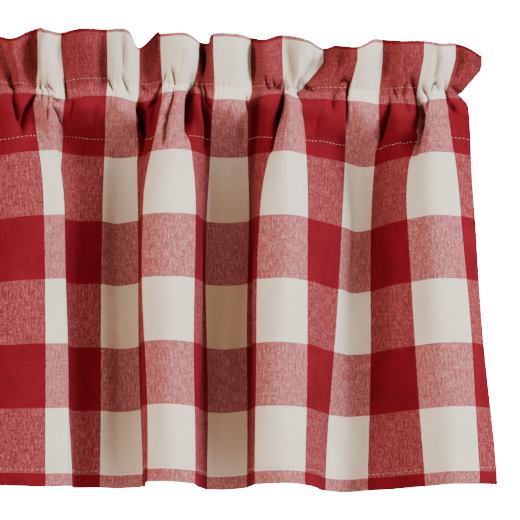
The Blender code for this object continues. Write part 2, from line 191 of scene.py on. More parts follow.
# Troughs, and ridges where sunk is below 0, of the gathered cloth. A path is a few places on the
# flat cloth, across in checks and down in millimetres, and wide and sunk are in millimetres.
Crease = namedtuple("Crease", "path wide sunk")
CREASES = [
    # the left-hand fold, with a slit down each side of its tip
    Crease([(14.35, 7), (14.10, 22), (14.01, 31)], 5, 4),
    Crease([(14.06, 27), (13.90, 46), (13.77, 59), (13.71, 71)], 2.6, 13),
    Crease([(13.37, 45), (13.47, 57), (13.58, 65), (13.68, 77)], 2.4, 10),
    Crease([(13.94, 5), (13.80, 22), (13.72, 50)], 4, -2.5),
    # the pleat in the cream check, and the knot under it
    Crease([(13.50, -4), (13.46, 29)], 9, 8),
    Crease([(13.00, 4), (13.10, 29)], 3.5, -3),
    Crease([(13.26, 27), (13.30, 36), (13.12, 53)], 1.8, 5),
    Crease([(13.38, 29), (13.28, 44)], 2.2, -2),
    Crease([(13.10, 34), (12.87, 54), (12.98, 69)], 2.2, 7),
    Crease([(13.04, 31), (12.88, 37), (12.70, 43)], 1.8, 4.5),
    Crease([(12.89, 45), (12.65, 49), (12.49, 52)], 2.6, 4),
    Crease([(12.71, 56), (12.55, 62), (12.40, 72)], 2.2, 7.5),
    # the wide red check
    Crease([(11.66, 7), (11.71, 33)], 3.2, -2),
    Crease([(11.50, 2), (11.54, 46)], 7, 6),
    Crease([(12.39, 28), (12.36, 50)], 2.4, 6),
    Crease([(12.28, 35), (12.24, 54)], 2.4, -1.5),
    Crease([(11.87, 8), (12.01, 27)], 4, 1.5),
    Crease([(11.57, 57), (11.71, 73)], 4, 3),
    Crease([(12.22, 44), (12.22, 67)], 3, 2.5),
    # the cream check after it
    Crease([(11.38, 31), (11.33, 36), (11.21, 43)], 1.8, 5),
    Crease([(11.06, 4), (10.92, 26)], 6, 5),
    Crease([(10.98, 28), (10.80, 35), (10.65, 43)], 2, 3.5),
    # the leaf of cloth, and the deep gap below it
    Crease([(9.90, 5), (9.58, 17), (9.54, 29)], 2.8, 6),
    Crease([(10.36, 32), (9.99, 39)], 2, 2),
    Crease([(9.45, 33), (9.72, 46), (10.06, 55)], 2.6, 8),
    Crease([(10.34, 50), (10.22, 64), (10.24, 75), (10.31, 88)], 4, 15),
    Crease([(9.87, 49), (10.04, 72)], 4, -3),
    # the bright cream check, with a strand beside its slit
    Crease([(9.14, 23), (9.07, 28), (8.97, 37)], 1.7, 5),
    Crease([(9.28, 26), (9.35, 32)], 1.7, 3),
    Crease([(9.05, 46), (9.14, 58), (9.21, 67), (9.21, 76), (9.16, 86)], 2.3, 11),
    Crease([(9.17, 43), (9.32, 62), (9.34, 76)], 2.5, -2.5),
    Crease([(8.38, 60), (8.49, 82)], 3, 3),
    Crease([(8.92, 10), (8.94, 25)], 5, 2),
    # the narrow flap with a slit on each side
    Crease([(8.29, 0), (8.11, 25)], 5, 9),
    Crease([(8.48, 28), (8.34, 51), (8.39, 64), (8.45, 79)], 4.2, 14),
    Crease([(8.28, 27), (7.94, 49), (7.72, 61), (7.59, 71), (7.61, 83)], 4.4, 8),
    Crease([(7.99, 31), (7.68, 49), (7.46, 58)], 2, 6),
    # the flat cream check
    Crease([(6.88, 49), (7.10, 75)], 5, 3),
    Crease([(6.52, 65), (6.63, 86)], 5, 4),
    Crease([(6.52, 41), (6.38, 61)], 2, 4),
    # the tunnels beyond its edge, and the slits below them
    Crease([(6.34, 3), (6.37, 29)], 5, 5),
    Crease([(5.94, 25), (5.92, 31), (5.82, 34)], 1.7, 4),
    Crease([(5.71, 26), (5.67, 32), (5.55, 32), (5.44, 27)], 1.7, 5),
    Crease([(5.75, 49), (5.75, 75)], 5, -4),
    Crease([(5.38, 29), (5.41, 56), (5.44, 68), (5.44, 81), (5.40, 90)], 2.4, 12),
    # the next cream check, folded over the red one
    Crease([(5.29, 6), (5.22, 15), (5.01, 28)], 5, 4),
    Crease([(5.10, 11), (4.81, 28)], 3, -1.5),
    Crease([(5.27, 29), (5.09, 42), (4.73, 48)], 1.8, 3),
    Crease([(4.83, 25), (4.47, 31), (4.29, 46)], 2, 4),
    Crease([(5.27, 52), (5.29, 68)], 3, 3),
    Crease([(4.47, 54), (4.42, 65)], 2.5, 2),
    # the gathered red check after it
    Crease([(4.67, 9), (4.56, 22)], 4, 4),
    Crease([(3.79, 1), (3.81, 19)], 5, 4),
    Crease([(3.69, 28), (3.59, 25), (3.44, 29)], 1.8, 2.5),
    Crease([(3.46, 25), (3.46, 34), (3.36, 44)], 2, 4),
    Crease([(4.61, 24), (4.34, 29), (4.10, 34)], 1.7, 3),
    Crease([(4.49, 25), (4.25, 29), (4.02, 29)], 2, -1.5),
    Crease([(3.67, 35), (3.71, 59)], 3, 4),
    Crease([(3.49, 31), (3.39, 52), (3.37, 68)], 2, 7),
    Crease([(3.97, 56), (4.20, 79)], 4, 2),
    Crease([(3.26, 51), (3.19, 76)], 4, 2),
    # the wide red check with a shaded triangle at its left
    Crease([(2.23, 5), (2.29, 24)], 4, 2.5),
    Crease([(1.81, 5), (1.84, 23)], 4, 1.5),
    Crease([(2.09, 28), (1.98, 35), (1.86, 47)], 2.2, 2),
    Crease([(1.72, 28), (1.78, 36), (1.70, 49)], 2.2, 2),
    Crease([(1.99, 32), (1.90, 38), (1.81, 32)], 1.7, -1.5),
    Crease([(1.63, 24), (1.51, 32), (1.40, 43)], 2.6, 4),
    Crease([(2.13, 44), (2.23, 58), (2.32, 69), (2.36, 75)], 4, 12),
    Crease([(1.70, 43), (1.59, 57)], 2.5, 2.5),
    Crease([(1.63, 75), (1.47, 71), (1.29, 72)], 3, -3),
    Crease([(1.28, 76), (1.49, 78), (1.78, 80)], 4, 3),
    Crease([(1.40, 38), (1.34, 57), (1.30, 71), (1.30, 89)], 4.6, 14),
    # the last cream check, with its tunnel, and the edge
    Crease([(1.02, 44), (1.07, 57), (1.15, 70)], 3, 9),
    Crease([(0.86, 48), (1.03, 71)], 2.4, -2),
    Crease([(0.94, 37), (0.93, 29), (0.81, 28), (0.66, 34)], 1.6, 3.5),
    Crease([(1.08, 4), (0.97, 18), (0.91, 28)], 5, 4),
    Crease([(1.31, 30), (1.06, 39), (0.92, 50)], 2, 4),
    Crease([(0.51, 25), (0.32, 42), (0.35, 54)], 1.8, 4),
    Crease([(0.71, 68), (0.41, 64)], 1.6, 1),
    Crease([(0.33, 4), (0.33, 25)], 4, 3),
    Crease([(0.32, 28), (0.12, 32), (0.00, 32)], 1.8, 2.5),
    Crease([(0.32, 53), (0.24, 62)], 3, 4),
]

# Painted shade where the cloth turns away between two folds. These have no depth of their own.
PAINTED_GAP_SHADES = [
    Crease([(6.20, 42), (6.12, 58), (6.08, 74), (6.12, 97)], 9, 0),
    Crease([(7.84, 44), (7.62, 58), (7.53, 70), (7.50, 91)], 6, 0),
    Crease([(10.30, 48), (10.20, 64), (10.19, 75), (10.27, 90)], 4.5, 0),
]
GAP_SHADE = 0.95

# Painted warm shade in folds so deep that their light comes off the cloth beside them, which tans
# pale cloth there, and how strongly each is painted
PAINTED_FOLD_SHADES = [
    Crease([(6.92, 104), (6.90, 353)], 27, 0),
    Crease([(10.84, 150), (10.84, 353)], 25, 0),
]
FOLD_SHADE_STRENGTH = 1.0, 0.6

# The small gathers along each row of stitches: where they are, how high, how far they reach, how
# closely they follow each other, and how much they stray. They swell and fade across the cloth.
Gathers = namedtuple("Gathers", "down high reach each_check stray")
GATHERS = [
    Gathers(UPPER_STITCH + 0.004, 0.0004, 0.009, 4.3, 0.9),
    Gathers(UPPER_STITCH + 0.009, 0.0003, 0.014, 7.1, 0.6),
    Gathers(LOWER_STITCH, 0.0003, 0.009, 5.2, 0.8),
]
STRAY_TURNS = 0.41
STRAY_SWING = 6
SWELLING = 0.65, 0.35
SWELLING_TURNS = 0.27

# The skirt's slight unevenness: its height, how far below the pocket it has grown to it, and its two
# slow waves, in turns for each check across and radians for each metre down
DRIFT = 0.0006
DRIFT_GROWS = 0.05
DRIFT_WAVES = (0.83, 21), (1.31, -34)

# How far down the front the first weft lines between two checks lie. Below them they are
# CHECK_HEIGHT apart, for more checks than the cloth has.
WEFT_LINES = 0.0024, 0.0481, 0.0918
CHECK_HEIGHT = 0.0495
MORE_CHECKS = 20


def all_folds():
    """The rows of FOLDS and those that continue them to the left-hand edge of the cloth."""
    rows = list(FOLDS)
    for fold in REPEATED_FOLDS:
        scale = 1 + UNEVENNESS * math.sin(UNEVEN_STRIDE * len(rows))
        for index in fold:
            rows.append(moved_left(FOLDS[index], FOLDS[index - 1], rows[-1], scale))
    ends = FOLDS[0]._replace(top=FOLDS[1].top, top_mid=FOLDS[1].top_mid)
    mirrored = moved_left(FOLDS[1], FOLDS[0], rows[-1], 1)
    rows.append(ends._replace(**{name: getattr(mirrored, name) for name in PLACES}))
    return rows


def moved_left(row, right_of_it, start, scale):
    """The row as the next one after start, at its own distance from the row on its right."""
    places = {
        name: getattr(start, name) + scale * (getattr(row, name) - getattr(right_of_it, name))
        for name in PLACES
    }
    return row._replace(**places)


def lines_across(rows):
    """Where each woven line is in the flat cloth, in checks from its right-hand edge."""
    inner = [EDGE_CHECK + check for check in range(len(rows) - 1)]
    return [0.0, *inner[:-1], inner[-2] + EDGE_CHECK]


def swell_point(right, left, width, swell):
    """The middle of a check of this width between two lines, each at (x, out)."""
    run_x, run_out = left[0] - right[0], left[1] - right[1]
    chord = math.hypot(run_x, run_out)
    spare = max(width / chord - 1, 0)
    rise = swell * chord * math.sqrt(ARCH * spare)
    x, out = (right[0] + left[0]) / 2, (right[1] + left[1]) / 2
    return x + rise * run_out / chord, out - rise * run_x / chord


def stations(rows, place, out, swell, share):
    """(places across, values (x, out)) at each woven line and in each check's middle."""
    across, places, found = lines_across(rows), [], []
    for line, row in enumerate(rows):
        here = -MM * getattr(row, place), MM * getattr(row, out)
        if line:
            width = CHECK * (across[line] - across[line - 1])
            middle = swell_point(found[-1], here, width, share * getattr(row, swell))
            places.append((across[line] + across[line - 1]) / 2)
            found.append(middle)
        places.append(across[line])
        found.append(here)
    return np.array(places), np.array(found)


def heights(rows, column, middle_column=None):
    """(places across, heights) of an edge or seam, at each line and, where given, between them."""
    across, places, found = lines_across(rows), [], []
    for line, row in enumerate(rows):
        if line and middle_column:
            places.append((across[line] + across[line - 1]) / 2)
            found.append(MM * getattr(row, middle_column))
        places.append(across[line])
        found.append(MM * getattr(row, column))
    return np.array(places), np.array(found)


def smooth(places, values, at):
    """Values on a smooth curve through the knots, for each place in at."""
    places, values, at = np.asarray(places), np.asarray(values), np.asarray(at, float)
    knot = np.clip(np.searchsorted(places, at, side="right") - 1, 0, len(places) - 2)
    before, after = np.maximum(knot - 1, 0), np.minimum(knot + 2, len(places) - 1)
    shape = at.shape + (1,) * (values.ndim - 1)
    span = (places[knot + 1] - places[knot]).reshape(shape)
    t = np.clip(((at - places[knot]).reshape(shape)) / span, 0, 1)
    start, end = values[knot], values[knot + 1]
    slope_in = span * (end - values[before]) / (places[knot + 1] - places[before]).reshape(shape)
    slope_out = span * (values[after] - start) / (places[after] - places[knot]).reshape(shape)
    return (
        start * (1 + 2 * t) * (1 - t) ** 2
        + slope_in * t * (1 - t) ** 2
        + end * t * t * (3 - 2 * t)
        - slope_out * t * t * (1 - t)
    )


def set_back(down, wall):
    """How far each row is behind the rod: 0 with the front layer, 1 where the pocket is open."""
    share = (down - UPPER_STITCH) / POCKET_HEIGHT
    rising = (POCKET_FULL - share) / (POCKET_FULL - POCKET_OPENS)
    falling = (share - POCKET_CLOSES) / (1 - POCKET_CLOSES)
    left = np.clip(np.maximum(rising, falling), 0, 1)
    return np.sqrt(1 - left * left) * (wall < 0)


def one_crease(crease, x, y):
    """How deep a crease is at each place of the flat cloth, how far it pulls it to the left, and
    how much painted shade it puts on the cloth there."""
    wide = crease.wide * MM
    corners = [(across * CHECK, down * MM) for across, down in crease.path]
    nearest = np.full(x.shape, np.inf)
    aside, along = np.zeros(x.shape), np.zeros(x.shape)
    for part, ((ax, ay), (bx, by)) in enumerate(zip(corners, corners[1:])):
        run_x, run_y = bx - ax, by - ay
        share = ((x - ax) * run_x + (y - ay) * run_y) / (run_x * run_x + run_y * run_y)
        share = np.clip(share, 0, 1)
        off = x - ax - share * run_x
        away = np.hypot(off, y - ay - share * run_y) / wide
        closer = away < nearest
        nearest = np.where(closer, away, nearest)
        aside = np.where(closer, off, aside)
        along = np.where(closer, (part + share) / (len(corners) - 1), along)
    taper = np.sqrt(np.sin(np.pi * np.clip(along, *CREASE_ENDS)))
    steep = np.clip(crease.sunk / crease.wide - STEEP_FROM, 0, 1)
    sunk = crease.sunk * MM * taper * np.exp(-(nearest**CREASE_EDGE))
    narrow = np.clip((NO_PULL_FROM - crease.wide) / PULL_FADES, 0, 1)
    pull = -CREASE_PULL * narrow * steep * taper * aside * np.exp(-(nearest**2) / 2)
    # Painted shade: darkest in a steep crease's core, and all across a gap or deep fold, which have no
    # depth
    if crease.sunk:
        dark = steep * np.exp(-((nearest / CREASE_SHADE_CORE) ** 2))
    else:
        dark = np.exp(-(nearest**GAP_EDGE))
    return sunk, pull, taper * dark


class Cloth:
    """The gathered cloth as a surface. Places are arrays: across in checks, down in metres."""

    def __init__(self):
        rows = all_folds()
        self.width = lines_across(rows)[-1]
        self.levels = [stations(rows, *level) for level in LEVELS]
        self.rises = [heights(rows, "top", "top_mid")]
        self.rises += [heights(rows, column) for column in ("sewn", "waist", "seam", "low")]
        self.shift = np.zeros(3)
        self.shift = -self.front(np.array([self.crossing()]), np.array([0.0]))[0, 0]

    def crossing(self):
        """Where, nearest to mid-width, the top edge crosses the rod's plane."""
        places = self.width * np.arange(*CROSSING_RANGE) / CROSSING_STEPS
        frill = self.levels[0]
        out = smooth(*frill, places)[:, 1]
        found = [
            (abs(2 * start - self.width), start, end)
            for start, end, out_start, out_end in zip(places, places[1:], out, out[1:])
            if out_start * out_end <= 0
        ]
        _, start, end = min(found)
        for _ in range(CROSSING_HALVINGS):
            middle = (start + end) / 2
            out_start, out_middle = smooth(*frill, np.array([start, middle]))[:, 1]
            if out_start * out_middle <= 0:
                end = middle
            else:
                start = middle
        return start

    def front(self, across, down):
        """[down, across, xyz] of the cloth as it hangs towards the room."""
        hung = [smooth(*knots, across) for knots in self.levels]
        lines = [FRILL_LINE, NECK_LINE, POCKET_LINE, SKIRT_LINE, HEM_LINE]
        x = smooth(lines, [level[:, 0] for level in hung], down)
        frill, _, pocket, skirt, hem = (level[:, 1] for level in hung)

        def between(share):
            return pocket + share * (skirt - pocket)

        depths = [
            (0, EDGE_FLARE * frill),
            (FRILL_LINE, frill),
            (UPPER_STITCH, UPPER_PINCH * frill),
            (NECK_LINE, NECK_OUT + NECK_PINCH * frill),
            (POCKET_LINE, pocket),
            (POCKET_FOOT, between(FOOT_SHARE)),
            (LOWER_STITCH, between(LOWER_SHARE)),
            (SKIRT_SHOULDER, between(SHOULDER_SHARE)),
            (SKIRT_LINE, skirt),
            (HEM_LINE, hem),
        ]
        out = smooth(*zip(*depths), down)
        return np.stack([x, -out, self.height(across, down)], axis=-1) + self.shift

    def height(self, across, down):
        """How high each place on the cloth hangs."""
        raised = [smooth(*knots, across) for knots in self.rises]
        levels = [0, UPPER_STITCH, WAIST_LINE, LOWER_STITCH, DROP]
        return smooth(levels, raised, down) - down[:, None]

    def place(self, across, down, wall):
        """The middle of each place's own layer: wall is 1 in front of the rod, -1 behind it."""
        points = self.front(across, down)
        back = BACK_WALL + BACK_RUFFLE * np.sin(2 * np.pi * across) + self.shift[1]
        points[..., 1] += (back[None, :] - points[..., 1]) * set_back(down, wall)[:, None]
        return points

    def surface(self, across, down, wall, offset):
        """[row, across, xyz] of the finished cloth, each row this far off its layer's middle."""
        points = self.place(across, down, wall)
        near = 0.02
        right = self.place(np.maximum(across - near, 0), down, wall)
        left = self.place(np.minimum(across + near, self.width), down, wall)
        run = left - right
        length = np.hypot(run[..., 0], run[..., 1])
        normal = np.stack([-run[..., 1] / length, run[..., 0] / length], axis=-1)
        raised, pulled = self.relief(across, down, wall)
        points += run * (pulled / (2 * near * CHECK))[..., None]
        points[..., :2] += normal * (offset[:, None] + raised)[..., None]
        return points

    def relief(self, across, down, wall):
        """How far creases and gathers raise the cloth off its folds, and pull it to the left."""
        x, y = np.broadcast_arrays(across[None, :] * CHECK, down[:, None])
        total, pulled = np.zeros(x.shape), np.zeros(x.shape)
        for crease in CREASES:
            sunk, pull, _ = one_crease(crease, x, y)
            total -= sunk
            pulled += pull
        turns = 2 * np.pi * across
        for row in GATHERS:
            stray = row.stray * np.sin(STRAY_TURNS * turns) * STRAY_SWING
            wave = np.sin(row.each_check * turns + stray)
            swelling = SWELLING[0] + SWELLING[1] * np.sin(SWELLING_TURNS * turns + row.each_check)
            fade = np.exp(-(((down - row.down) / row.reach) ** 2))
            total += row.high * fade[:, None] * (wave * swelling)[None, :]
        hanging = np.clip((down - LOWER_STITCH) / DRIFT_GROWS, 0, 1)[:, None]
        slow = sum(np.sin(each * turns[None, :] + lean * y) for each, lean in DRIFT_WAVES)
        total += DRIFT * hanging * slow
        in_front = 1 - set_back(down, wall)
        return total * in_front[:, None], pulled * in_front[:, None]

    def painted_shade(self, across, down, wall):
        """How much painted shade the cloth gets, from 0 to 1: in tight creases and gaps, and in deep
        folds.
        """
        x, y = np.broadcast_arrays(across[None, :] * CHECK, down[:, None])
        unshaded, tan_shade = np.ones(x.shape), np.zeros(x.shape)
        for crease in CREASES:
            unshaded *= 1 - one_crease(crease, x, y)[2]
        for gap in PAINTED_GAP_SHADES:
            unshaded *= 1 - GAP_SHADE * one_crease(gap, x, y)[2]
        for fold, share in zip(PAINTED_FOLD_SHADES, FOLD_SHADE_STRENGTH):
            tan_shade += share * one_crease(fold, x, y)[2]
        in_front = 1 - set_back(down, wall)
        return (1 - unshaded) * in_front[:, None], tan_shade


# ---- the sheet of cloth

# Half the distance between two layers, how far inside the cloth's ends its folded edges are rolled,
# through how many degrees to each side, and how far its tucked end reaches below the stitches
CLOTH_APART = 0.0007
EDGE_IN = 0.001
ROLL = 60
TUCKED = 0.003

# Columns for each check: within the first checks from the right, and further left
FINE_STEPS = 44
PLAIN_STEPS = 6
FINE_CHECKS = 14.6

# Where the flat cloth's right-hand edge and its first weft line are in its UVs, in checks
FIRST_ACROSS = 0.6
FIRST_UP = 8


def flat_rows(start, end, count, wall, side):
    """Rows of one layer between two places down the cloth, on this side of the folds' middle."""
    return [(down, wall, side * CLOTH_APART) for down in np.linspace(start, end, count)]


def rolled_rows(level, way, start, end, count):
    """Rows round a folded edge, below this level where way is 1 and above it where way is -1."""
    rows = []
    for angle in np.linspace(start, end, count):
        turn = math.radians(angle)
        rows.append((level + way * CLOTH_APART * math.cos(turn), 0, CLOTH_APART * math.sin(turn)))
    return rows


def rows_down():
    """(down, wall, offset) for each row of the sheet, from its tucked end to its turned-up hem."""
    foot = DROP - EDGE_IN
    rows = [
        *flat_rows(LOWER_STITCH + TUCKED, UPPER_STITCH, count=9, wall=-1, side=-1),
        *flat_rows(UPPER_STITCH, EDGE_IN, count=9, wall=0, side=-1)[1:],
        *rolled_rows(EDGE_IN, -1, -ROLL, ROLL, count=5),
        *flat_rows(EDGE_IN, UPPER_STITCH, count=20, wall=0, side=1),
        *flat_rows(UPPER_STITCH, LOWER_STITCH, count=38, wall=1, side=1)[1:-1],
        *flat_rows(LOWER_STITCH, SKIRT_SHOULDER, count=12, wall=0, side=1)[:-1],
        *flat_rows(SKIRT_SHOULDER, foot, count=24, wall=0, side=1),
        *rolled_rows(foot, 1, ROLL, -ROLL, count=4),
        *flat_rows(foot, HEM_STITCH - EDGE_IN, count=4, wall=0, side=-1),
    ]
    return [np.array(column, float) for column in zip(*rows)]


def places_across(width):
    """Where the sheet has columns: closer together where the photograph looks."""
    fine = np.arange(0, FINE_CHECKS, 1 / FINE_STEPS)
    plain = np.arange(FINE_CHECKS, width, 1 / PLAIN_STEPS)
    return np.append(np.concatenate([fine, plain]), width)


def weft_at(down, outside):
    """The weft line count at each row: 0 on the first line below the top edge."""
    last = len(WEFT_LINES) - 1
    knots = [*WEFT_LINES, WEFT_LINES[last] + MORE_CHECKS * CHECK_HEIGHT]
    counts = [*range(len(WEFT_LINES)), last + MORE_CHECKS]
    front = np.interp(down, knots, counts)
    front = np.where(down < WEFT_LINES[0], (down - WEFT_LINES[0]) / CHECK_HEIGHT, front)
    behind = -(down + WEFT_LINES[0]) / CHECK_HEIGHT
    turned_up = (2 * DROP - down - WEFT_LINES[last]) / CHECK_HEIGHT + last
    at_foot = down > (DROP + LOWER_STITCH) / 2
    return np.where(outside, front, np.where(at_foot, turned_up, behind))


def mesh_object(name, points, faces):
    """A smooth mesh in the scene."""
    mesh = bpy.data.meshes.new(name)
    mesh.from_pydata(points.reshape(-1, 3).tolist(), [], faces)
    mesh.shade_smooth()
    piece = bpy.data.objects.new(name, mesh)
    bpy.context.scene.collection.objects.link(piece)
    return piece


def grid_object(name, points, uvs):
    """A mesh over a grid of points, with its place in the flat cloth as its UVs."""
    count_down, count_across = points.shape[:2]
    index = np.arange(count_down * count_across).reshape(count_down, count_across)
    quads = np.stack([index[:-1, :-1], index[1:, :-1], index[1:, 1:], index[:-1, 1:]], axis=-1)
    piece = mesh_object(name, points, quads.reshape(-1, 4).tolist())
    layer = piece.data.uv_layers.new(name="flat_cloth")
    loops = np.zeros(len(piece.data.loops), np.int32)
    piece.data.loops.foreach_get("vertex_index", loops)
    layer.data.foreach_set("uv", uvs.reshape(-1, 2)[loops].ravel())
    return piece


def make_cloth(settings):
    """The whole valance as one sheet, with its painted shade in creases, gaps and folds stored on its
    points.
    """
    cloth = Cloth()
    across = places_across(cloth.width)
    down, wall, offset = rows_down()
    points = cloth.surface(across, down, wall, offset)
    up = FIRST_UP - weft_at(down, offset > 0)
    uvs = np.stack(np.broadcast_arrays(across[None, :] + FIRST_ACROSS, up[:, None]), axis=-1)
    piece = grid_object("valance_cloth", points, uvs)
    # Painted shade for the material: in creases and gaps, and warm shade in deep folds
    for label, amount in zip(("painted_crease_shade", "painted_fold_shade"), cloth.painted_shade(across, down, wall)):
        attribute = piece.data.attributes.new(label, "FLOAT", "POINT")
        attribute.data.foreach_set("value", amount.ravel())
    piece.data.materials.append(check_cotton(settings))
    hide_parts("heading", "skirt")
    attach(piece, "root")


# ---- the stitching

# A stitch is a bent, tapered tube. STITCH_LIFT and STITCH_ARCH are shares of the thread's width: how
# far it is off the cloth, and how much higher its middle is. Stitches wander unevenly off their row.
STITCH_SIDES = 6
STITCH_TAPER = 0.55, 0.95, 1, 0.95, 0.55
STITCH_RINGS = len(STITCH_TAPER)
STITCH_LIFT = 0.1
STITCH_ARCH = 0.5
STITCH_WANDER = 0.0003
WANDER_STRIDE = 7.3
WANDER_POWER = 1.1


def thread_object(name, centres, normals, radii):
    """One mesh of short thread stitches: centres and normals are [stitch, ring, xyz]."""
    along = np.gradient(centres, axis=1)
    along /= np.linalg.norm(along, axis=-1, keepdims=True)
    sideways = np.cross(along, normals)
    sideways /= np.linalg.norm(sideways, axis=-1, keepdims=True)
    angles = (2 * np.pi * np.arange(STITCH_SIDES) / STITCH_SIDES)[:, None]
    ring = normals[:, :, None] * np.cos(angles) + sideways[:, :, None] * np.sin(angles)
    points = centres[:, :, None, :] + ring * radii[None, :, None, None]
    index = np.arange(points.shape[0] * STITCH_RINGS * STITCH_SIDES)
    index = index.reshape(-1, STITCH_RINGS, STITCH_SIDES)
    turned = np.roll(index, -1, axis=2)
    quads = np.stack([index[:, :-1], turned[:, :-1], turned[:, 1:], index[:, 1:]], axis=-1)
    caps = index[:, 0, ::-1].tolist() + index[:, -1].tolist()
    return mesh_object(name, points, quads.reshape(-1, 4).tolist() + caps)


def stitch_row(cloth, down, wall, side, settings):
    """The rings' centres and normals along one row: side is 1 on the room's side of the layer."""
    pitch = (settings.stitch_length + settings.stitch_gap) / CHECK
    starts = np.arange(pitch / 2, cloth.width - pitch, pitch)
    share = np.linspace(0, 1, STITCH_RINGS)
    across = (starts[:, None] + share[None, :] * settings.stitch_length / CHECK).ravel()
    off = side * (CLOTH_APART + STITCH_LIFT * settings.thread_width)
    rows = np.array([down]), np.array([wall])
    low = cloth.surface(across, *rows, np.array([off]))[0]
    high = cloth.surface(across, *rows, np.array([off + side * MM]))[0]
    normals = (high - low) / MM
    arched = np.tile(np.sin(np.pi * share), len(starts)) - 0.5
    centres = low + normals * (STITCH_ARCH * settings.thread_width * arched)[:, None]
    wander = STITCH_WANDER * np.sin(WANDER_STRIDE * np.arange(len(starts)) ** WANDER_POWER)
    centres[:, 2] += np.repeat(wander, STITCH_RINGS)
    shape = len(starts), STITCH_RINGS, 3
    return centres.reshape(shape), normals.reshape(shape)


def make_stitching(settings):
    """Three rows of stitches, each one piece that shows on both sides of the cloth."""
    cloth = Cloth()
    thread = thread_material(settings)
    for name, down, back_wall in (
        ("upper_stitches", UPPER_STITCH, 0),
        ("lower_stitches", LOWER_STITCH, -1),
        ("hem_stitches", HEM_STITCH, 0),
    ):
        front = stitch_row(cloth, down, 0, 1, settings)
        back = stitch_row(cloth, down, back_wall, -1, settings)
        centres, normals = (np.concatenate(parts) for parts in zip(front, back))
        radii = settings.thread_width / 2 * np.array(STITCH_TAPER)
        piece = thread_object(name, centres, normals, radii)
        piece.data.materials.append(thread)
        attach(piece, "root")


# ---- materials


class Nodes:
    """Short calls for making and joining a tree's nodes."""

    def __init__(self, tree):
        self.tree = tree

    def add(self, kind, label="", **values):
        """A new node, with these of its settings."""
        node = self.tree.nodes.new(kind)
        node.label = label
        for name, value in values.items():
            setattr(node, name, value)
        return node

    def join(self, source, target):
        self.tree.links.new(source, target)

    def math(self, operation, a, b=None, c=None, label=""):
        node = self.add("ShaderNodeMath", label, operation=operation)
        for socket, value in zip(node.inputs, (a, b, c)):
            self.feed(value, socket)
        return node.outputs[0]

    def feed(self, value, socket):
        """Join an output to the socket, or set the socket to a number or a colour."""
        if isinstance(value, bpy.types.NodeSocket):
            self.join(value, socket)
        elif value is not None:
            socket.default_value = value

    def mix(self, factor, a, b, blend="MIX", label=""):
        node = self.add("ShaderNodeMix", label, data_type="RGBA", blend_type=blend)
        self.feed(factor, node.inputs[0])
        self.feed(a, node.inputs[6])
        self.feed(b, node.inputs[7])
        return node.outputs[2]


# Noise in the yarns: its scale across and up the flat cloth, its detail, and the levels that are
# spread over 0 to 1
YARN_NOISE = {
    "warp slubs": (28, 7, 3, 0.32, 0.68),
    "flecks": (34, 24, 2, 0.34, 0.66),
    "weft slubs": (5, 34, 2, 0.32, 0.68),
    "uneven dye": (2.2, 1.6, 2, 0.3, 0.7),
    "weaver's wobble": (3, 3, 2, 0, 1),
}
NOISE_ROUGHNESS = 0.6
WOBBLE = 0.012
# An even number of checks, which keeps the count above 0 at both ends of the cloth
COUNT_FROM = 40

# Shares of the warp slubs, flecks and weft slubs in the half-tone checks, how far the dark ground
# outweighs the light specks, and how much of them the plain checks show
MOTTLE = 0.42, 0.40, 0.18
SPECK_POWER = 1.8
FAINT = 0.5
CREAM_DARK = 0.88
RED_DARK = 0.76
RED_LIGHT = 1.16

# The frill's foot, in checks up the flat cloth. Above it the red-on-cream checks lose some of their
# light specks, which is painted shade on the frill's red checks.
FRILL_FOOT = 7.22
FRILL_SHADE = -0.4

# Shares of the weave, the warp slubs and the weft slubs in the height, beside the flecks
HEIGHTS = 0.3, 0.7, 0.5
BUMP = 0.5

# Painted shade: what tight creases and deep folds leave of the colour
CREASE_SHADE = (0.16, 0.10, 0.10, 1)
FOLD_SHADE = (0.77, 0.56, 0.36, 1)


def shade_of(colour, share):
    """The colour with this share of its light."""
    return (*(share * channel for channel in colour[:3]), 1)


